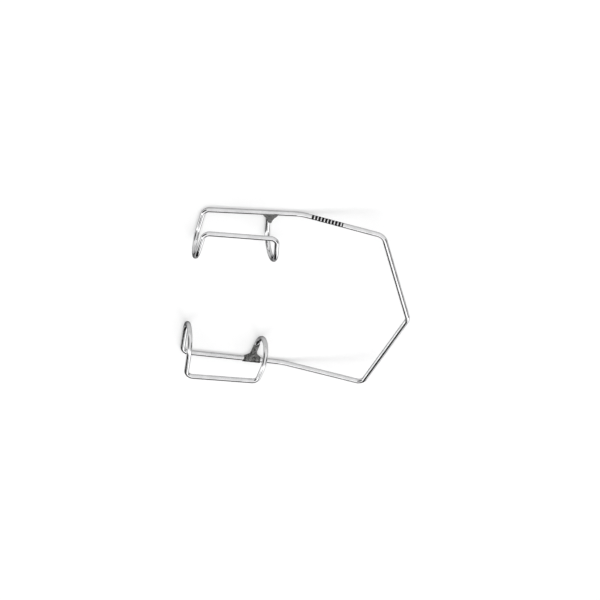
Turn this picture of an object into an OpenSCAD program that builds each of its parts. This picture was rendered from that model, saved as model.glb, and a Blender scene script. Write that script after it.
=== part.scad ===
// Wire speculum: a self-retaining lid retractor bent from one length of spring wire.
// It lies on its two rails, blades up, with the spring bow rising towards +X.
// Millimetres. X runs from the blades to the bow, Y across the two arms, Z up.

/* [Wire] */
// Diameter of the spring wire
wire_d = 0.85; // [0.7:0.05:1]

/* [Overall] */
// Length from the front of the blades to the tip of the bow
overall_length = 39.2; // [38:0.2:44]
// Distance between the two rails at their front ends, centre to centre
front_spacing = 33; // [30:0.5:36]
// Distance between the two knees, centre to centre
knee_spacing = 34.4; // [32:0.2:37]
// Distance between the two elbows, centre to centre
elbow_spacing = 34; // [31:0.5:37]

/* [Bow and shanks] */
// Distance along X from the elbows to the tip of the bow
bow_reach = 6.2; // [5:0.1:8]
// Distance along X from the knees to the elbows
shank_reach = 14.3; // [12:0.1:15]
// Upward slope of the shanks and the bow, in degrees
bow_rise = 15.5; // [10:0.5:20]
// Bend radius at the tip of the bow, on the wire's centre line
apex_bend = 1.7; // [1.5:0.1:3]
// Bend radius at the elbows
elbow_bend = 1.6; // [1.3:0.1:3]
// Bend radius at the knees
knee_bend = 8; // [5:0.5:10]

/* [Blades] */
// Outer length of each blade bar
blade_length = 13.5; // [12:0.5:15]
// Height of the bars above the rails, centre to centre
channel_height = 6.4; // [5.5:0.1:7]
// Bend radius of the corners between the hooks and the rails and bars
corner_bend = 1.2; // [1:0.1:1.6]

/* [Left hooks] */
// How far the left rail's front corner stands behind the right one's
left_rail_setback = 1.1; // [0:0.1:1.5]
// Depth of the left front hook, from the rail to the bottom of its turn
left_front_depth = 7.1; // [6.5:0.1:8]
// How far the left front hook leans forward, in degrees
left_front_lean = 9; // [0:0.5:9]
// How far the left bar's front corner stands behind the rail's
left_front_rake = 0.1; // [0:0.1:1]
// Depth of the left rear hook, from the end of the wire to the bottom of its turn
left_rear_depth = 6.9; // [6:0.1:8]
// How far the left rear hook leans backward, in degrees
left_rear_lean = 2; // [0:0.5:14]
// How far the left bar's rear corner stands behind the end of the wire
left_rear_rake = 1.6; // [1:0.1:1.8]

/* [Right hooks] */
// Depth of the right front hook, from the rail to the bottom of its turn
right_front_depth = 8.5; // [7:0.1:9]
// How far the right front hook leans backward, in degrees
right_front_lean = 1.5; // [0:0.5:4]
// How far the right bar's front corner stands behind the rail's
right_front_rake = 0.8; // [0:0.1:1]
// Depth of the right rear hook, from the end of the wire to the bottom of its turn
right_rear_depth = 7; // [6:0.1:8]
// How far the right rear hook leans backward, in degrees
right_rear_lean = 12.5; // [0:0.5:14]
// How far the right bar's rear corner stands behind the end of the wire
right_rear_rake = 1.2; // [1:0.1:1.8]

/* [Brazed joint] */
// Length of the left fillet along the rail
left_braze_length = 2.6; // [2.2:0.1:3.4]
// Length of the right fillet along the rail
right_braze_length = 3.2; // [2.2:0.1:3.4]
// How far the fillet reaches along the end of the wire, from the rail's centre line
braze_reach = 2.2; // [1.6:0.1:2.6]
// Thickness of the fillet
braze_thickness = 0.6; // [0.4:0.05:0.65]

/* [Hidden] */
$fn = 48;
wire_r = wire_d / 2;
steel = [0.78, 0.79, 0.80];
silver_solder = [0.50, 0.50, 0.50];

// ---- directions and tangent points -------------------------------------------------

function unit(v) = v / norm(v);
// Angle that the wire turns through at corner b on its way from a to c
function turn_angle(a, b, c) = 180 - acos(unit(a - b) * unit(c - b));
// Distance from a corner to the point where its bend starts
function bend_setback(a, b, c, radius) = radius * tan(turn_angle(a, b, c) / 2);
// The point at a distance along the way from p to q
function along(p, q, distance) = p + unit(q - p) * distance;
function midpoint(p, q) = (p + q) / 2;

// ---- corners of the wire's centre line, as on the left side; the right is mirrored ---

slope = tan(bow_rise);
rail_z = wire_r;
bar_z = wire_r + channel_height;

// The bend at the tip cuts its corner short by this much
apex_half_turn = atan(cos(bow_rise) * (elbow_spacing / 2) / bow_reach);
apex_cut = apex_bend * (1 / sin(apex_half_turn) - 1) * cos(bow_rise);
apex_x = overall_length / 2 - wire_r + apex_cut;
elbow_x = apex_x - bow_reach;
knee_x = elbow_x - shank_reach;

apex = [apex_x, 0, rail_z + slope * (apex_x - knee_x)];
elbow = [elbow_x, elbow_spacing / 2, rail_z + slope * (elbow_x - knee_x)];
knee = [knee_x, knee_spacing / 2, rail_z];

// The right rail's front corner is the foremost point of the wire
rail_front_x = -overall_length / 2 + wire_r;
rail_slant = (knee_spacing - front_spacing) / 2 / (knee_x - rail_front_x);
function on_rail(x) = [x, front_spacing / 2 + (x - rail_front_x) * rail_slant, rail_z];

// Both legs of a hook run this way, inwards from the rail and the bar
function hook_way(lean) = [sin(lean), -cos(lean), 0];
// The diameter of a turn, square to the hook's legs
function across(low, high, way) = (high - low) - way * ((high - low) * way);
// Where a hook's two legs meet its turn, the lower one first
function turn_ends(low, high, way, depth) =
    let (diameter = across(low, high, way))
    let (low_end = low + way * (depth - norm(diameter) / 2))
    [low_end, low_end + diameter];

// The corners of one arm's blade, as [rail front, bar front, bar rear, wire end,
// front way, rear way, front turn ends, rear turn ends]
function blade(setback, front_depth, front_lean, front_rake, rear_depth, rear_lean, rear_rake) =
    let (rail_front = on_rail(rail_front_x + setback))
    let (bar_front = [rail_front[0] + front_rake, front_spacing / 2, bar_z])
    let (bar_rear = bar_front + [blade_length - wire_d, 0, 0])
    let (wire_end = on_rail(bar_rear[0] - rear_rake))
    let (front_way = hook_way(front_lean))
    let (rear_way = hook_way(rear_lean))
    [
        rail_front, bar_front, bar_rear, wire_end, front_way, rear_way,
        turn_ends(rail_front, bar_front, front_way, front_depth),
        turn_ends(wire_end, bar_rear, rear_way, rear_depth),
    ];

// One name for each place in that list
function rail_front(blade) = blade[0];
function bar_front(blade) = blade[1];
function bar_rear(blade) = blade[2];
function wire_end(blade) = blade[3];
function front_way(blade) = blade[4];
function rear_way(blade) = blade[5];
function front_turn_low(blade) = blade[6][0];
function front_turn_high(blade) = blade[6][1];
function rear_turn_low(blade) = blade[7][0];
function rear_turn_high(blade) = blade[7][1];

left_blade = blade(
    left_rail_setback, left_front_depth, -left_front_lean, left_front_rake,
    left_rear_depth, left_rear_lean, left_rear_rake
);
right_blade = blade(
    0, right_front_depth, right_front_lean, right_front_rake,
    right_rear_depth, right_rear_lean, right_rear_rake
);

// ---- shapes that repeat ------------------------------------------------------------

// A straight stretch of wire from p to q
module straight_wire(p, q) {
    way = unit(q - p);
    translate(p)
        rotate([0, acos(way[2]), atan2(way[1], way[0])])
            cylinder(d = wire_d, h = norm(q - p));
}

// An arc of wire about a centre: it starts at from, heads along way and turns by angle
module arc_wire(centre, from, way, angle) {
    x_axis = unit(from - centre);
    y_axis = unit(way);
    z_axis = cross(x_axis, y_axis);
    multmatrix([
        [x_axis[0], y_axis[0], z_axis[0], centre[0]],
        [x_axis[1], y_axis[1], z_axis[1], centre[1]],
        [x_axis[2], y_axis[2], z_axis[2], centre[2]],
        [0, 0, 0, 1]
    ])
        rotate_extrude(angle = angle)
            translate([norm(from - centre), 0])
                circle(d = wire_d);
}

// The bend that rounds corner b on the way from a to c
module wire_bend(a, b, c, radius) {
    angle = turn_angle(a, b, c);
    start = along(b, a, bend_setback(a, b, c, radius));
    centre = b + unit(unit(a - b) + unit(c - b)) * radius / cos(angle / 2);
    arc_wire(centre, start, b - a, angle);
}

// The half circle of wire at the bottom of a hook
module hook_turn(low, high, way) {
    arc_wire(midpoint(low, high), low, way, 180);
}

// ---- the bow and the shanks, left side ---------------------------------------------

apex_setback = bend_setback(elbow, apex, [elbow[0], -elbow[1], elbow[2]], apex_bend);
elbow_setback = bend_setback(apex, elbow, knee, elbow_bend);
knee_setback = bend_setback(elbow, knee, on_rail(rail_front_x), knee_bend);

leg_start = along(apex, elbow, apex_setback);
leg_end = along(elbow, apex, elbow_setback);
shank_start = along(elbow, knee, elbow_setback);
shank_end = along(knee, elbow, knee_setback);

// The wire's end is cut square, and solder fills the hairline gap between it and the rail
solder_gap = 0.04;
function cut_end(blade) =
    let (way = rear_way(blade))
    wire_end(blade) + way * (wire_r + solder_gap) / -way[1];

module bow_apex() {
    color(steel)
        wire_bend(elbow, apex, [elbow[0], -elbow[1], elbow[2]], apex_bend);
}

module leg_root() {
    color(steel)
        straight_wire(leg_start, midpoint(leg_start, leg_end));
}

module leg_tip() {
    color(steel)
        straight_wire(midpoint(leg_start, leg_end), leg_end);
}

module elbow_turn() {
    color(steel)
        wire_bend(apex, elbow, knee, elbow_bend);
}

module shank_rear() {
    color(steel)
        straight_wire(shank_start, midpoint(shank_start, shank_end));
}

module shank_front() {
    color(steel)
        straight_wire(midpoint(shank_start, shank_end), shank_end);
}

module knee_turn() {
    color(steel)
        wire_bend(elbow, knee, on_rail(rail_front_x), knee_bend);
}

// ---- the rail and the blade, for either arm ----------------------------------------

// Runs straight between two corners, stopping short of the bend at each
module straight_between(before, from, to, after) {
    straight_wire(
        along(from, to, bend_setback(before, from, to, corner_bend)),
        along(to, from, bend_setback(from, to, after, corner_bend))
    );
}

module rail(blade) {
    setback = bend_setback(knee, rail_front(blade), front_turn_low(blade), corner_bend);
    color(steel)
        straight_wire(
            along(knee, rail_front(blade), knee_setback),
            along(rail_front(blade), knee, setback)
        );
}

module rail_corner(blade) {
    color(steel)
        wire_bend(knee, rail_front(blade), front_turn_low(blade), corner_bend);
}

module front_lower_leg(blade) {
    setback = bend_setback(knee, rail_front(blade), front_turn_low(blade), corner_bend);
    color(steel)
        straight_wire(along(rail_front(blade), front_turn_low(blade), setback), front_turn_low(blade));
}

module front_turn(blade) {
    color(steel)
        hook_turn(front_turn_low(blade), front_turn_high(blade), front_way(blade));
}

module front_upper_leg(blade) {
    setback = bend_setback(front_turn_high(blade), bar_front(blade), bar_rear(blade), corner_bend);
    color(steel)
        straight_wire(front_turn_high(blade), along(bar_front(blade), front_turn_high(blade), setback));
}

module front_bar_corner(blade) {
    color(steel)
        wire_bend(front_turn_high(blade), bar_front(blade), bar_rear(blade), corner_bend);
}

module blade_bar(blade) {
    color(steel)
        straight_between(front_turn_high(blade), bar_front(blade), bar_rear(blade), rear_turn_high(blade));
}

module rear_bar_corner(blade) {
    color(steel)
        wire_bend(bar_front(blade), bar_rear(blade), rear_turn_high(blade), corner_bend);
}

module rear_upper_leg(blade) {
    setback = bend_setback(bar_front(blade), bar_rear(blade), rear_turn_high(blade), corner_bend);
    color(steel)
        straight_wire(along(bar_rear(blade), rear_turn_high(blade), setback), rear_turn_high(blade));
}

module rear_turn(blade) {
    color(steel)
        hook_turn(rear_turn_low(blade), rear_turn_high(blade), rear_way(blade));
}

module wire_end_leg(blade) {
    color(steel)
        straight_wire(rear_turn_low(blade), cut_end(blade));
}

// A web of silver solder that ties the end of the wire to the rail
module braze(blade, length) {
    side = [wire_r, 0, 0];
    foot = rear_way(blade) * braze_reach;
    outline = [[-length / 2, 0, 0], [length / 2, 0, 0], foot + side, foot - side];
    color(silver_solder)
        difference() {
            translate(wire_end(blade) - [0, 0, braze_thickness / 2])
                linear_extrude(height = braze_thickness)
                    polygon([for (corner = outline) [corner[0], corner[1]]]);
            straight_wire(knee, rail_front(blade));
            straight_wire(rear_turn_low(blade), cut_end(blade));
        }
}

module on_the_right() {
    mirror([0, 1, 0])
        children();
}

bow_apex();

leg_root();  // left_leg_root
leg_tip();  // left_leg_tip
elbow_turn();  // left_elbow
shank_rear();  // left_shank_rear
shank_front();  // left_shank_front
knee_turn();  // left_knee
rail(left_blade);  // left_rail
rail_corner(left_blade);  // left_rail_corner
front_lower_leg(left_blade);  // left_front_lower_leg
front_turn(left_blade);  // left_front_turn
front_upper_leg(left_blade);  // left_front_upper_leg
front_bar_corner(left_blade);  // left_front_bar_corner
blade_bar(left_blade);  // left_blade_bar
rear_bar_corner(left_blade);  // left_rear_bar_corner
rear_upper_leg(left_blade);  // left_rear_upper_leg
rear_turn(left_blade);  // left_rear_turn
wire_end_leg(left_blade);  // left_wire_end
braze(left_blade, left_braze_length);  // left_braze

on_the_right() leg_root();  // right_leg_root
on_the_right() leg_tip();  // right_leg_tip
on_the_right() elbow_turn();  // right_elbow
on_the_right() shank_rear();  // right_shank_rear
on_the_right() shank_front();  // right_shank_front
on_the_right() knee_turn();  // right_knee
on_the_right() rail(right_blade);  // right_rail
on_the_right() rail_corner(right_blade);  // right_rail_corner
on_the_right() front_lower_leg(right_blade);  // right_front_lower_leg
on_the_right() front_turn(right_blade);  // right_front_turn
on_the_right() front_upper_leg(right_blade);  // right_front_upper_leg
on_the_right() front_bar_corner(right_blade);  // right_front_bar_corner
on_the_right() blade_bar(right_blade);  // right_blade_bar
on_the_right() rear_bar_corner(right_blade);  // right_rear_bar_corner
on_the_right() rear_upper_leg(right_blade);  // right_rear_upper_leg
on_the_right() rear_turn(right_blade);  // right_rear_turn
on_the_right() wire_end_leg(right_blade);  // right_wire_end
on_the_right() braze(right_blade, right_braze_length);  // right_braze
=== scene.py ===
# %% [markdown]
# # A wire eyelid speculum
# The object is one length of stainless spring wire. It is bent into a shallow V-shaped bow, two
# arms, and a hooked blade at the end of each arm, and each end of the wire is brazed back onto
# its own rail. The imported model gives every straight stretch and every bend at its real size.
# This lesson forms the same wire again as smooth, seamless tubes, most of them hung on the bodies
# that the joints move, and gives the steel and the solder their finish.

# %% Load the imported model
import math
import bmesh
import bpy
import numpy as np
from mathutils import Matrix, Vector


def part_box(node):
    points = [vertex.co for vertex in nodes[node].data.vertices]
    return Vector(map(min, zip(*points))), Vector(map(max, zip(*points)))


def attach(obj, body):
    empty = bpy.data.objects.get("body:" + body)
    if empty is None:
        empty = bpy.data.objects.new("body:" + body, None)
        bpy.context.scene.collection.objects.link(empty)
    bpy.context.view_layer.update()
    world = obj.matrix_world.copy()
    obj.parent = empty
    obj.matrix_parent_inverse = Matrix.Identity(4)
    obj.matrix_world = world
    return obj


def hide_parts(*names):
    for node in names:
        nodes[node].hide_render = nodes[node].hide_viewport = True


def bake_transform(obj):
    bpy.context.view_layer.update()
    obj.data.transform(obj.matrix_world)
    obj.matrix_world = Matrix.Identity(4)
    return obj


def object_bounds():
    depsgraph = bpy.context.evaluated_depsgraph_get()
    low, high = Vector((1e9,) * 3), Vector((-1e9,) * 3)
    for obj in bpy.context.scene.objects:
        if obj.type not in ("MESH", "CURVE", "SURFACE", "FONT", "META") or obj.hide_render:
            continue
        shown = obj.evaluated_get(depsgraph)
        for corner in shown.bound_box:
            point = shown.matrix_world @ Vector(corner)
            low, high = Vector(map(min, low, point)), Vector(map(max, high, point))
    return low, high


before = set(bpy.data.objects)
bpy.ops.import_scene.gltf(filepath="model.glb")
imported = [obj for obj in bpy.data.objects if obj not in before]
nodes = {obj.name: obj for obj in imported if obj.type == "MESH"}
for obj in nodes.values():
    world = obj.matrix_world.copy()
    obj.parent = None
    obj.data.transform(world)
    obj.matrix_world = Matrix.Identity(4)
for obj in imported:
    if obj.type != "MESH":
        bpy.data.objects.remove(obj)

cad_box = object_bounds()
MM = 0.001

# %% [markdown]
# ## The camera
# A small object seen from well back through a long lens has hardly any perspective, so its
# parallel wires stay parallel. The camera stands beyond the left arm, looks down on the
# instrument and is rolled half a turn, which brings the bow to the right. The direction is
# written as two angles, which is easier to change than a rotation matrix.

# %% Place the camera
VIEW_TILT = math.radians(40.6)      # the line of sight, measured from straight down
VIEW_TURN = math.radians(5.75)      # the instrument is turned this much on the table
VIEW_DISTANCE = 800 * MM
FRAME_WIDTH = 105.26 * MM           # what the view takes in at the object
AIM = Vector((0.25, 0.20, 3.4)) * MM

turn = Matrix.Rotation(VIEW_TURN, 3, "Z")
right = turn @ Vector((1, 0, 0))
towards_viewer = turn @ Vector((0, math.sin(VIEW_TILT), math.cos(VIEW_TILT)))
up = towards_viewer.cross(right)

camera = bpy.data.objects.new("camera", bpy.data.cameras.new("camera"))
bpy.context.scene.collection.objects.link(camera)
camera.matrix_world = (
    Matrix.Translation(AIM + towards_viewer * VIEW_DISTANCE)
    @ Matrix((right, up, towards_viewer)).transposed().to_4x4()
)
camera.data.sensor_width = 36
camera.data.lens = camera.data.sensor_width * VIEW_DISTANCE / FRAME_WIDTH
camera.data.clip_start = 0.01
camera.data.clip_end = 20
bpy.context.scene.camera = camera
print("lens", round(camera.data.lens, 1), "mm")

# %% [markdown]
# ## Reading the wire's route
# Only the straight stretches have to be measured: the long axis of each CAD cylinder gives its
# two ends. A bend is then known from the stretches before and after it, just as a wire bender's
# table lists feeds and angles. The long axis is the main direction of the vertices, which a
# singular value decomposition finds in one call.

# %% Measure a straight stretch
END_SLICE = 0.02 * MM     # vertices this near to the furthest one belong to the end face


def ends_of(*names):
    """The two ends of a straight stretch of wire that one or more nodes make up."""
    points = np.array([v.co for n in names for v in nodes[n].data.vertices])
    points = np.unique(points.round(7), axis=0)
    centre = points.mean(axis=0)
    axis = np.linalg.svd(points - centre, full_matrices=False)[2][0]
    reach = (points - centre) @ axis
    return [Vector(points[np.abs(reach - limit) < END_SLICE].mean(axis=0))
            for limit in (reach.min(), reach.max())]


def route_of(*stretches):
    """Straight stretches as (start, end), turned so that each begins where the last one ended."""
    route = [ends_of(*names) for names in stretches]
    first, second = route[0], route[1]
    if min((first[0] - p).length for p in second) < min((first[1] - p).length for p in second):
        first.reverse()
    for before, after in zip(route, route[1:]):
        if (after[1] - before[1]).length < (after[0] - before[1]).length:
            after.reverse()
    return route


bar_low, bar_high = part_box("left_blade_bar")
WIRE_R = (bar_high.z - bar_low.z) / 2
print("wire diameter", round(2 * WIRE_R / MM, 3), "mm")

# %% [markdown]
# ## A wire bender in code
# The maker feeds straight wire from a reel and folds it round pins. The same two moves shape the
# mesh here: a ring of edges is extruded and slid forward for a straight stretch, and extruded and
# turned a little at a time round the pin for a bend. A curve with a bevel could make the tube
# too, but rings that are moved one at a time can also be squashed where a bend flattens the wire,
# and each vertex can remember how far along the wire it lies and on which side.

# %% Feed, bend and cut
SECTION_SIDES = 32


class WireBender:
    """Feeds round wire out of its head and bends it, one closed piece at a time."""

    def __init__(self, start, heading, side_reference):
        across = side_reference.cross(heading).normalized()
        facing = heading.cross(across).normalized()
        self.head = Matrix.Translation(start) @ Matrix(
            (across, facing, heading.normalized())).transposed().to_4x4()
        self.fed = 0.0

    def heading(self):
        return (self.head.to_3x3() @ Vector((0, 0, 1))).normalized()

    def begin(self):
        """Start a new closed piece where the head now stands."""
        self.bm = bmesh.new()
        self.place = self.bm.verts.layers.float_vector.new("wire_place")
        bmesh.ops.create_circle(self.bm, cap_ends=True, segments=SECTION_SIDES,
                                radius=WIRE_R, matrix=self.head)
        back = self.head.inverted()
        for vert in self.bm.verts:
            local = back @ vert.co
            vert[self.place] = (local.x, local.y, self.fed)
        self.rim = list(self.bm.edges)
        for edge in self.rim:
            edge.smooth = False

    def extrude_ring(self):
        """Grow one more ring of vertices out of the last one, and return its vertices."""
        grown = bmesh.ops.extrude_edge_only(self.bm, edges=self.rim)["geom"]
        ring = [g for g in grown if isinstance(g, bmesh.types.BMVert)]
        on_ring = set(ring)
        self.rim = [g for g in grown if isinstance(g, bmesh.types.BMEdge)
                    and g.verts[0] in on_ring and g.verts[1] in on_ring]
        for edge in self.rim:
            edge.smooth = True      # only the two cut ends stay sharp
        return ring

    def advance(self, ring, length, move):
        """Carry the head and the newest ring along together."""
        self.head = move @ self.head
        self.fed += length
        for vert in ring:
            side_x, side_y, _ = vert[self.place]
            vert[self.place] = (side_x, side_y, self.fed)

    def feed_to(self, end, steps=1):
        """Feed straight wire out to a point, after squaring the head up to it."""
        at = self.head.translation.copy()
        square_up = self.heading().rotation_difference(end - at).to_matrix()
        turned = (Matrix.Translation(at) @ square_up.to_4x4() @ Matrix.Translation(-at))
        step = (end - at) / steps
        for i in range(steps):
            ring = self.extrude_ring()
            if i == 0:
                bmesh.ops.rotate(self.bm, verts=ring, cent=at, matrix=square_up)
                self.head = turned @ self.head
            bmesh.ops.translate(self.bm, verts=ring, vec=step)
            self.advance(ring, step.length, Matrix.Translation(step))

    def bend_to(self, end, steps, squash=0.0):
        """Bend round the one pin that brings the head to a point further on."""
        start = self.head.translation.copy()
        chord = end - start
        angle = 2 * self.heading().angle(chord)
        axis = self.heading().cross(chord).normalized()
        radius = chord.length / (2 * math.sin(angle / 2))
        pin = start + axis.cross(self.heading()) * radius
        step_turn = Matrix.Rotation(angle / steps, 3, axis)
        squashed = 1.0
        for i in range(1, steps + 1):
            ring = self.extrude_ring()
            bmesh.ops.rotate(self.bm, verts=ring, cent=pin, matrix=step_turn)
            move = Matrix.Translation(pin) @ step_turn.to_4x4() @ Matrix.Translation(-pin)
            self.advance(ring, radius * angle / steps, move)
            wanted = 1 - squash * math.sin(math.pi * i / steps) ** 2
            outward = (self.head.translation - pin).normalized()
            flat = Matrix((outward, self.heading(), outward.cross(self.heading())))
            to_ring = flat.to_4x4() @ Matrix.Translation(-self.head.translation)
            bmesh.ops.scale(self.bm, verts=ring, vec=(wanted / squashed, 1, 1), space=to_ring)
            squashed = wanted
        return radius

    def cut(self, name):
        """Close the piece with a flat end and hand it over as an object."""
        for edge in self.rim:
            edge.smooth = False
        bmesh.ops.edgeloop_fill(self.bm, edges=self.rim)
        return add_piece(name, self.bm)


def add_piece(name, bm):
    """Turn a bmesh into an object at the origin, with its faces outwards and shaded smooth."""
    bmesh.ops.recalc_face_normals(bm, faces=bm.faces)
    for face in bm.faces:
        face.smooth = True
    mesh = bpy.data.meshes.new(name)
    bm.to_mesh(mesh)
    bm.free()
    piece = bpy.data.objects.new(name, mesh)
    bpy.context.scene.collection.objects.link(piece)
    return piece

# %% [markdown]
# ## Steel finishes
# The wire is hard-drawn stainless steel, polished after bending. Drawing through a die leaves
# hair-fine lines that follow the wire round every bend, so their pattern is read from the
# wire_place attribute and not from the object's own space: its first two numbers say which side
# of the wire a point is on and the third says how far along it is. Stretched noise gives the
# lines, and two broader noises give the handling marks and the uneven lustre of real polish. The
# broadest noise makes the surface itself faintly uneven, so that its reflections waver.

# %% Node helpers
def add_node(tree, kind, inputs=(), **settings):
    """Add a shader node; inputs are (socket, value or socket to link) pairs."""
    made = tree.nodes.new(kind)
    for key, value in settings.items():
        setattr(made, key, value)
    for socket, value in inputs:
        if isinstance(value, bpy.types.NodeSocket):
            tree.links.new(value, made.inputs[socket])
        else:
            made.inputs[socket].default_value = value
    return made


def stretched_noise(tree, coordinates, per_metre, detail=2.0, offset=(0, 0, 0)):
    """Noise whose grain has its own size along each axis, given in repeats per metre."""
    mapped = add_node(tree, "ShaderNodeMapping",
                      [("Vector", coordinates), ("Scale", per_metre), ("Location", offset)])
    noise = add_node(tree, "ShaderNodeTexNoise",
                     [("Vector", mapped.outputs[0]), ("Scale", 1.0), ("Detail", detail),
                      ("Roughness", 0.55)])
    return noise.outputs["Fac"]


def ramp(tree, factor, low, high, at_low, at_high):
    """Map a factor between two limits to numbers between two others."""
    made = add_node(tree, "ShaderNodeMapRange",
                    [("Value", factor), ("From Min", low), ("From Max", high),
                     ("To Min", at_low), ("To Max", at_high)])
    return made.outputs[0]


def calculate(tree, operation, *values):
    """One step of arithmetic on sockets or plain numbers."""
    made = add_node(tree, "ShaderNodeMath", list(enumerate(values)), operation=operation)
    return made.outputs[0]


def multiply(tree, a, b):
    return calculate(tree, "MULTIPLY", a, b)


def mix_colour(tree, factor, a, b):
    made = add_node(tree, "ShaderNodeMix", [("Factor", factor), ("A", a), ("B", b)],
                    data_type="RGBA")
    return made.outputs[2]


def new_material(name):
    material = bpy.data.materials.new(name)
    material.use_nodes = True
    tree = material.node_tree
    return material, tree, tree.nodes["Principled BSDF"]

# %% The row of ticks
ETCH_BLACK = (0.012, 0.012, 0.013, 1)
HALF_PITCH = 0.30 * MM            # two of these from one tick to the next
TICK_DARK = 0.62 * HALF_PITCH     # a tick is fully dark out to here from its middle
TICK_FADE = 0.74 * HALF_PITCH     # and has faded out here
TICK_WOBBLE = 0.06 * MM           # burnt edges wander by this much
LONG_TICK_BEAT = 2.5 * HALF_PITCH     # every so often a tick reaches further round the wire
LONG_TO_SHORT = (0.8 * HALF_PITCH, 1.6 * HALF_PITCH)
TICK_REACH = (-0.35, 0.45)        # where long and short ticks start, in radii from mid wire
ROW_FADE = 0.03 * MM


def wire_place_of(tree):
    made = add_node(tree, "ShaderNodeAttribute", attribute_name="wire_place",
                    attribute_type="GEOMETRY")
    return made.outputs["Vector"]


def etched_ticks(tree, place, first, last, side):
    """A row of plain dark ticks burnt across one side of the wire, some longer than others."""
    parts = add_node(tree, "ShaderNodeSeparateXYZ", [("Vector", place)])
    along = parts.outputs["Z"]
    wobble = stretched_noise(tree, place, (5000, 5000, 5000), detail=2.0)
    shifted = calculate(tree, "ADD", along, ramp(tree, wobble, 0.3, 0.7, 0.0, TICK_WOBBLE))
    beat = calculate(tree, "PINGPONG", shifted, HALF_PITCH)
    slow_beat = calculate(tree, "PINGPONG", along, LONG_TICK_BEAT)
    tick = ramp(tree, beat, TICK_DARK, TICK_FADE, 1.0, 0.0)
    facing = add_node(tree, "ShaderNodeVectorMath", [(0, place), (1, side)],
                      operation="DOT_PRODUCT").outputs["Value"]
    short_of = ramp(tree, slow_beat, *LONG_TO_SHORT, *TICK_REACH)
    reach = calculate(tree, "SUBTRACT", facing, multiply(tree, short_of, WIRE_R))
    on_side = ramp(tree, reach, 0.0, 0.08 * WIRE_R, 0.0, 1.0)
    begun = ramp(tree, along, first, first + ROW_FADE, 0.0, 1.0)
    not_over = ramp(tree, along, last - ROW_FADE, last, 1.0, 0.0)
    return multiply(tree, multiply(tree, tick, on_side), multiply(tree, begun, not_over))

# %% The wire's steel
BRIGHT_STEEL = (0.56, 0.56, 0.565, 1)
WORN_STEEL = (0.48, 0.48, 0.485, 1)
EDGE_TINT = (0.12, 0.12, 0.122, 1)
DRAW_LINE_WIDTH = 0.03 * MM
DRAW_LINE_LENGTH = 4 * MM
DRAW_LINE_DEPTH = 0.004 * MM
WAVE_DEPTH = 0.02 * MM    # forming leaves the wire faintly uneven, so its reflections waver
# The grain of each noise in repeats per metre: twice across the wire, then along it
LUSTRE_GRAIN = (1500, 1500, 700)
HANDLING_GRAIN = (9000, 2500, 2500)
WAVE_GRAIN = (1300, 1300, 420)
# Each finish is its least roughness, its most, and how strongly the draw lines show
POLISHED = (0.02, 0.07, 0.06)
SATIN = (0.07, 0.15, 0.12)
ETCHED_ROUGHNESS = 0.45


def wire_steel(name, smoothest, roughest, line_depth, marks=None):
    """Drawn and polished stainless wire, from a mirror polish to a soft satin."""
    material, tree, shader = new_material(name)
    place = wire_place_of(tree)
    across, lengthwise = 1 / DRAW_LINE_WIDTH, 1 / DRAW_LINE_LENGTH
    lines = stretched_noise(tree, place, (across, across, lengthwise), detail=3.0)
    lustre = stretched_noise(tree, place, LUSTRE_GRAIN, offset=(3, 1, 7))
    handling = stretched_noise(tree, place, HANDLING_GRAIN, detail=4.0, offset=(8, 5, 2))
    wear = ramp(tree, handling, 0.55, 0.75, 0.0, 1.0)
    waves = stretched_noise(tree, place, WAVE_GRAIN, offset=(6, 4, 9))
    colour = mix_colour(tree, ramp(tree, lustre, 0.35, 0.7, 0.0, 1.0), BRIGHT_STEEL, WORN_STEEL)
    colour = mix_colour(tree, multiply(tree, wear, 0.35), colour, WORN_STEEL)
    rough = calculate(tree, "ADD", ramp(tree, lustre, 0.3, 0.75, smoothest, roughest),
                      ramp(tree, lines, 0.3, 0.7, 0.0, 0.04))
    if marks:
        etched = etched_ticks(tree, place, *marks)
        colour = mix_colour(tree, etched, colour, ETCH_BLACK)
        rough = ramp(tree, etched, 0.0, 1.0, rough, ETCHED_ROUGHNESS)
    tree.links.new(colour, shader.inputs["Base Color"])
    tree.links.new(rough, shader.inputs["Roughness"])
    uneven = add_node(tree, "ShaderNodeBump",
                      [("Height", waves), ("Strength", 1.0), ("Distance", WAVE_DEPTH)])
    bump = add_node(tree, "ShaderNodeBump",
                    [("Height", lines), ("Strength", line_depth), ("Distance", DRAW_LINE_DEPTH),
                     ("Normal", uneven.outputs[0])])
    tree.links.new(bump.outputs[0], shader.inputs["Normal"])
    shader.inputs["Metallic"].default_value = 1.0
    shader.inputs["Specular Tint"].default_value = EDGE_TINT
    return material


polished_steel = wire_steel("polished_wire_steel", *POLISHED)
satin_steel = wire_steel("satin_leg_steel", *SATIN)
print("finishes:", polished_steel.name, satin_steel.name)

# %% [markdown]
# ## Forming both arms
# The bender starts at the tip of the bow and works down one arm to the wire's end, then does the
# same for the other arm. The work is cut into closed pieces at the places where one body gives
# way to the next, and wherever the wire changes its job. The cuts are flat and hidden: two pieces
# meet face to face with the same ring of vertices, so the wire reads as one unbroken length.
# The real wire flexes along the whole leg and the whole shank, but here those two pieces are
# straight tubes that are baked in place and hung on no body.

# %% Form the bow's apex
TIGHT_SQUASH = 0.06       # a tight corner goes this much oval
EASY_SQUASH = 0.03
# How many rings each kind of stretch or bend gets
FLEX_STEPS = 36
RAIL_STEPS = 6
BAR_STEPS = 4
HOOK_LEG_STEPS = 2
APEX_STEPS = 20
CORNER_STEPS = 16
KNEE_STEPS = 14
TURN_STEPS = 32
# The ticks lie on the left shank, this far before the knee, on its upper, outer side
TICKS_FROM = 6.5 * MM
TICKS_TO = 0.7 * MM
TICKS_FACE = Vector((0, 0.65, 0.76))

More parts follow.
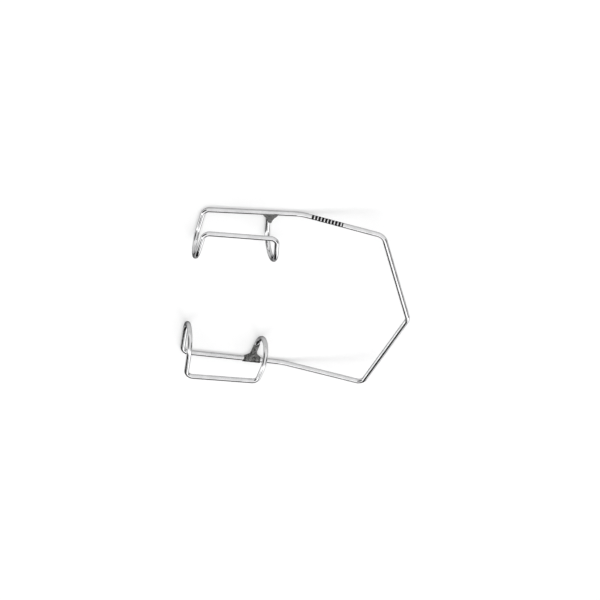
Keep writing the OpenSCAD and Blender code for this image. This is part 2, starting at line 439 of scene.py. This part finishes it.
legs = {side: route_of([f"{side}_leg_root", f"{side}_leg_tip"],
                       [f"{side}_shank_rear", f"{side}_shank_front"],
                       [f"{side}_rail"],
                       [f"{side}_front_lower_leg"],
                       [f"{side}_front_upper_leg"],
                       [f"{side}_blade_bar"],
                       [f"{side}_rear_upper_leg"],
                       [f"{side}_wire_end"])
        for side in ("left", "right")}

apex_from = legs["right"][0][0]
apex_heading = legs["right"][0][0] - legs["right"][0][1]
bender = WireBender(apex_from, apex_heading, Vector((0, 0, 1)))
bender.begin()
bender.bend_to(legs["left"][0][0], steps=APEX_STEPS, squash=TIGHT_SQUASH)
bow = bender.cut("bow_bend")
bow.data.materials.append(polished_steel)
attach(bow, "bow")
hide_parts("bow_apex")
print("bow bend:", len(bow.data.polygons), "faces")

# %% Form the two arms
def finish_wire(name, material, slot, *replaced):
    piece = bender.cut(name)
    piece.data.materials.append(material)
    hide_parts(*replaced)
    return piece


solder_points = {}
for side in ("left", "right"):
    leg, shank, rail, low_leg, high_leg, bar, rear_leg, end_leg = legs[side]
    arm, link = f"{side}_arm", f"{side}_elbow_link"
    bender = WireBender(leg[0], leg[1] - leg[0], Vector((0, 0, 1)))

    bender.begin()
    bender.feed_to(leg[1], FLEX_STEPS)
    piece = finish_wire(f"{side}_leg", satin_steel, "brushed_wire",
                        f"{side}_leg_root", f"{side}_leg_tip")
    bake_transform(piece)

    bender.begin()
    bender.bend_to(shank[0], steps=CORNER_STEPS, squash=TIGHT_SQUASH)
    piece = finish_wire(f"{side}_elbow_bend", polished_steel, "polished_wire", f"{side}_elbow")
    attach(piece, link)

    bender.begin()
    bender.feed_to(shank[1], FLEX_STEPS)
    shank_steel = satin_steel
    if side == "left":
        up_side = bender.head.inverted().to_3x3() @ TICKS_FACE
        up_side.z = 0
        shank_steel = wire_steel("etched_shank_steel", *SATIN,
                                 (bender.fed - TICKS_FROM, bender.fed - TICKS_TO,
                                  up_side.normalized()))
    piece = finish_wire(f"{side}_shank", shank_steel, "brushed_wire",
                        f"{side}_shank_rear", f"{side}_shank_front")
    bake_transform(piece)

    bender.begin()
    bender.bend_to(rail[0], steps=KNEE_STEPS)
    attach(finish_wire(f"{side}_knee_bend", polished_steel, "polished_wire",
                        f"{side}_knee"), arm)

    bender.begin()
    bender.feed_to(rail[1], RAIL_STEPS)
    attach(finish_wire(f"{side}_rail_wire", polished_steel, "polished_wire",
                        f"{side}_rail"), arm)

    bender.begin()
    bender.bend_to(low_leg[0], steps=CORNER_STEPS, squash=TIGHT_SQUASH)
    bender.feed_to(low_leg[1], HOOK_LEG_STEPS)
    bender.bend_to(high_leg[0], steps=TURN_STEPS, squash=EASY_SQUASH)
    bender.feed_to(high_leg[1], HOOK_LEG_STEPS)
    bender.bend_to(bar[0], steps=CORNER_STEPS, squash=TIGHT_SQUASH)
    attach(finish_wire(f"{side}_front_hook", polished_steel, "polished_wire",
                        f"{side}_rail_corner", f"{side}_front_lower_leg",
                        f"{side}_front_turn", f"{side}_front_upper_leg",
                        f"{side}_front_bar_corner"), arm)

    bender.begin()
    bender.feed_to(bar[1], BAR_STEPS)
    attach(finish_wire(f"{side}_blade_bar_wire", polished_steel, "polished_wire",
                        f"{side}_blade_bar"), arm)

    bender.begin()
    bender.bend_to(rear_leg[0], steps=CORNER_STEPS, squash=TIGHT_SQUASH)
    bender.feed_to(rear_leg[1], HOOK_LEG_STEPS)
    bender.bend_to(end_leg[0], steps=TURN_STEPS, squash=EASY_SQUASH)
    bender.feed_to(end_leg[1], HOOK_LEG_STEPS)
    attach(finish_wire(f"{side}_rear_hook", polished_steel, "polished_wire",
                        f"{side}_rear_bar_corner", f"{side}_rear_upper_leg",
                        f"{side}_rear_turn", f"{side}_wire_end"), arm)
    solder_points[side] = bender.head.copy()
    miss = (bender.head.translation - end_leg[1]).length
    print(side, "arm:", round(bender.fed / MM, 1), "mm of wire, off by", round(miss / MM, 4), "mm")

# %% [markdown]
# ## The soldered joints
# The end of the wire is butted against the inside of its own rail and flooded with silver solder.
# Molten solder wets both wires and pulls itself into a hollow-sided web between them. The lump is
# roughed out by extruding a block in narrowing steps and adding a cuff that hugs the rail. On
# the right the solder was overheated and also crept up the wire's end, so that lump gets a
# sleeve round the wire and a sootier finish. A remesh fuses each lump, smoothing relaxes it as
# surface tension does, and it is then filed flat underneath so that the instrument lies level.

# %% Solder finish
BURNT_FLUX = (0.012, 0.012, 0.012, 1)
SOLDER_RELIEF = 0.02 * MM


def solder_finish(name, dull, bright, flux_from):
    """Silver solder: duller and greyer than the wire, dimpled, with dark flux in the hollows."""
    material, tree, shader = new_material(name)
    where = add_node(tree, "ShaderNodeTexCoord").outputs["Object"]
    lumps = stretched_noise(tree, where, (2200, 2200, 2200), detail=3.0)
    grain = stretched_noise(tree, where, (14000, 14000, 14000), detail=5.0, offset=(2, 9, 4))
    file_marks = stretched_noise(tree, where, (3000, 26000, 26000), detail=2.0, offset=(5, 5, 1))
    body = mix_colour(tree, ramp(tree, lumps, 0.35, 0.65, 0.0, 1.0), dull, bright)
    flux = ramp(tree, grain, flux_from, flux_from + 0.12, 0.0, 1.0)
    tree.links.new(mix_colour(tree, flux, body, BURNT_FLUX), shader.inputs["Base Color"])
    tree.links.new(ramp(tree, grain, 0.3, 0.7, 0.34, 0.58), shader.inputs["Roughness"])
    height = calculate(tree, "ADD", grain, multiply(tree, file_marks, 0.8))
    bump = add_node(tree, "ShaderNodeBump",
                    [("Height", height), ("Strength", 0.5), ("Distance", SOLDER_RELIEF)])
    tree.links.new(bump.outputs[0], shader.inputs["Normal"])
    shader.inputs["Metallic"].default_value = 1.0
    return material


clean_solder = solder_finish("silver_solder", dull=(0.09, 0.09, 0.089, 1),
                             bright=(0.18, 0.18, 0.176, 1), flux_from=0.58)
sooted_solder = solder_finish("sooted_solder", dull=(0.03, 0.03, 0.03, 1),
                              bright=(0.24, 0.24, 0.235, 1), flux_from=0.50)

# %% Shape the solder
VOXEL = 0.04 * MM
SLUMP_STRENGTH = 0.5
SLUMP_ROUNDS = 6
SOLDER_SIDES = 24
WEB_THICKNESS = 1.0 * MM
WEB_ROOT = 0.1 * MM       # thickness of the slab that a web grows from
CREEP_ROOT = 1.38         # the creeping sleeve's radius at the rail and at its top, in wire radii
CREEP_TOP = 1.22
# Each step of a web is (distance from the rail's centre line, width), in millimetres
LEFT_WEB = ((0.10, 2.7), (0.45, 2.3), (0.85, 1.5), (1.3, 0.9), (1.9, 0.5))
RIGHT_WEB = ((-0.25, 3.2), (0.35, 2.9), (0.8, 1.8), (1.2, 1.1), (1.8, 0.85))


def shape_solder(side, web_steps, cuff, shift, creep):
    """A web from the rail out along the wire's end, a cuff round the rail, and any creep."""
    head = solder_points[side]
    away = -(head.to_3x3() @ Vector((0, 0, 1))).normalized()
    rail = legs[side][2]
    along = (rail[1] - rail[0]).normalized()
    root = rail[0] + along * (head.translation - rail[0]).dot(along)
    upward = along.cross(away).normalized()
    lean = Matrix.Translation(root) @ Matrix((along, away, upward)).transposed().to_4x4()

    bm = bmesh.new()
    bmesh.ops.create_cube(bm, size=1.0)
    bmesh.ops.scale(bm, verts=bm.verts,
                    vec=(web_steps[0][1] * MM, WEB_ROOT, WEB_THICKNESS))
    bmesh.ops.translate(bm, verts=bm.verts, vec=(0, web_steps[0][0] * MM - WEB_ROOT / 2, 0))
    front = max(bm.faces, key=lambda f: f.calc_center_median().y)
    for (y_before, wide_before), (y_now, wide_now) in zip(web_steps, web_steps[1:]):
        front = bmesh.ops.extrude_discrete_faces(bm, faces=[front])["faces"][0]
        bmesh.ops.translate(bm, verts=front.verts, vec=(0, (y_now - y_before) * MM, 0))
        bmesh.ops.scale(bm, verts=front.verts, vec=(wide_now / wide_before, 1, 1))
    radius, length, inset = (size * MM for size in cuff)
    bmesh.ops.create_cone(bm, cap_ends=True, segments=SOLDER_SIDES, radius1=radius,
                          radius2=radius, depth=length,
                          matrix=Matrix.Translation((0, inset, 0))
                          @ Matrix.Rotation(math.radians(90), 4, "Y"))
    bmesh.ops.translate(bm, verts=bm.verts, vec=(-shift * MM, 0, 0))
    if creep:
        bmesh.ops.create_cone(bm, cap_ends=True, segments=SOLDER_SIDES,
                              radius1=WIRE_R * CREEP_ROOT, radius2=WIRE_R * CREEP_TOP,
                              depth=creep * MM,
                              matrix=Matrix.Translation((0, creep * MM / 2, 0))
                              @ Matrix.Rotation(math.radians(-90), 4, "X"))
    bmesh.ops.transform(bm, matrix=lean, verts=bm.verts)
    return add_piece(f"{side}_solder_web", bm)


def relax(piece):
    """Fuse the rough lump to one skin, let it slump smooth, and file it flat underneath."""
    fuse = piece.modifiers.new("fuse", "REMESH")
    fuse.mode = "VOXEL"
    fuse.voxel_size = VOXEL
    fuse.use_smooth_shade = True
    slump = piece.modifiers.new("slump", "SMOOTH")
    slump.factor = SLUMP_STRENGTH
    slump.iterations = SLUMP_ROUNDS
    shape = piece.evaluated_get(bpy.context.evaluated_depsgraph_get())
    fused = bpy.data.meshes.new_from_object(shape)
    piece.modifiers.clear()
    piece.data = fused
    bm = bmesh.new()
    bm.from_mesh(fused)
    bmesh.ops.bisect_plane(bm, geom=bm.verts[:] + bm.edges[:] + bm.faces[:],
                           plane_co=(0, 0, cad_box[0][2]), plane_no=(0, 0, 1),
                           clear_inner=True)
    bmesh.ops.holes_fill(bm, edges=[e for e in bm.edges if e.is_boundary], sides=0)
    for face in bm.faces:
        face.smooth = True
    bm.to_mesh(fused)
    bm.free()


# For each side: the web's steps, the cuff's radius, length and inset, how far the lump is
# shifted along the rail, how far it creeps up the wire's end, all in millimetres, and its finish
for side, web_steps, cuff, shift, creep, finish in (
        ("left", LEFT_WEB, (0.41, 2.1, 0.14), 0.36, 0, clean_solder),
        ("right", RIGHT_WEB, (0.56, 2.9, 0.03), 0.15, 3.7, sooted_solder)):
    web = shape_solder(side, web_steps, cuff, shift, creep)
    relax(web)
    web.data.materials.append(finish)
    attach(web, f"{side}_arm")
    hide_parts(f"{side}_braze")
    print(web.name, len(web.data.polygons), "faces")

# %% [markdown]
# ## Table and light
# Polished wire shows its surroundings more than itself, so the light matters as much as the
# steel. A pale table, faintly lit from below, fills the lower half of every reflection. The dome
# of sky is dimmer on the viewer's side, which leaves a soft grey core along each wire. Beyond
# the right arm it falls to a dark band near the horizon, with a narrow strip that reaches
# higher, and the wire mirrors both as grey rims. Three dark cards give the small black accents
# at the tight bends.

# %% The floor
FLOOR_RADIUS = 2.2
FLOOR_GAP = 0.02 * MM     # the table lies just clear of the wire
TABLE_GLOW = 0.26         # a light table, faintly lit from below
floor_bm = bmesh.new()
bmesh.ops.create_circle(floor_bm, cap_ends=True, segments=96, radius=FLOOR_RADIUS)
bmesh.ops.translate(floor_bm, verts=floor_bm.verts, vec=(0, 0, cad_box[0][2] - FLOOR_GAP))
floor = add_piece("table", floor_bm)
paint, tree, shader = new_material("pale_table")
weave = stretched_noise(tree, add_node(tree, "ShaderNodeTexCoord").outputs["Object"],
                        (900, 900, 900), detail=3.0)
tree.links.new(mix_colour(tree, weave, (0.66, 0.66, 0.66, 1), (0.68, 0.68, 0.68, 1)),
               shader.inputs["Base Color"])
shader.inputs["Roughness"].default_value = 0.9
shader.inputs["Specular IOR Level"].default_value = 0.2
shader.inputs["Emission Color"].default_value = (1, 1, 1, 1)
shader.inputs["Emission Strength"].default_value = TABLE_GLOW
floor.data.materials.append(paint)

# %% The sky
GLOW = 2.4
VIEWER_SIDE = 0.57        # the viewer's side of the dome is this much dimmer
VIEWER_FADE = (-0.45, 0.0)
DARK_BAND = 0.03          # in the band and the strip the dome falls to this
# Each patch is three pairs of limits between which it fades out: how far to the side, how far
# round towards the viewer, and how high, all as parts of a unit direction
BAND = ((0.30, 0.45), (-0.40, -0.10), (0.70, 0.745))
RAIL_STRIP = ((0.05, 0.10), (-0.30, -0.20), (0.84, 0.92))
RAIL_LINE = 0.065         # the strip is centred here, where the rails mirror it
DARK_CARDS = ((246, 15, 36), (163, 27, 31), (356, 25, 23))    # bearing, height, half width
CARD_CORE = 0.85          # a card is fully dark over this part of its half width
CARD_GLOW = 0.02


def sky_patch(tree, sideways, parts, side_fade, back_fade, top_fade):
    """One inside a patch of the dome, falling to zero across its limits."""
    patch = multiply(tree, ramp(tree, sideways, *side_fade, 1.0, 0.0),
                     ramp(tree, parts.outputs["Y"], *back_fade, 1.0, 0.0))
    return multiply(tree, patch, ramp(tree, parts.outputs["Z"], *top_fade, 1.0, 0.0))


world = bpy.data.worlds.new("soft_dome")
bpy.context.scene.world = world
world.use_nodes = True
tree = world.node_tree
direction = add_node(tree, "ShaderNodeTexCoord").outputs["Generated"]
parts = add_node(tree, "ShaderNodeSeparateXYZ", [("Vector", direction)])
from_middle = calculate(tree, "ABSOLUTE", parts.outputs["X"])
from_rail_line = calculate(tree, "ABSOLUTE",
                           calculate(tree, "SUBTRACT", parts.outputs["X"], RAIL_LINE))
dark = calculate(tree, "MAXIMUM", sky_patch(tree, from_middle, parts, *BAND),
                 sky_patch(tree, from_rail_line, parts, *RAIL_STRIP))
glow = multiply(tree, ramp(tree, dark, 0.0, 1.0, GLOW, GLOW * DARK_BAND),
                ramp(tree, parts.outputs["Y"], *VIEWER_FADE, 1.0, VIEWER_SIDE))
for bearing, elevation, half_width in DARK_CARDS:
    card_way = (Matrix.Rotation(math.radians(bearing), 3, "Z")
                @ Vector((math.cos(math.radians(elevation)), 0,
                          math.sin(math.radians(elevation)))))
    nearness = add_node(tree, "ShaderNodeVectorMath", [(0, direction), (1, card_way)],
                        operation="DOT_PRODUCT")
    edge = math.cos(math.radians(half_width))
    core = math.cos(math.radians(half_width * CARD_CORE))
    glow = multiply(tree, glow,
                    ramp(tree, nearness.outputs["Value"], edge, core, 1.0, CARD_GLOW))
tree.links.new(glow, tree.nodes["Background"].inputs["Strength"])
tree.nodes["Background"].inputs["Color"].default_value = (1, 1, 1, 1)
bpy.context.scene.view_settings.view_transform = "Standard"
print("sky glow", GLOW, "and dark band", DARK_BAND)
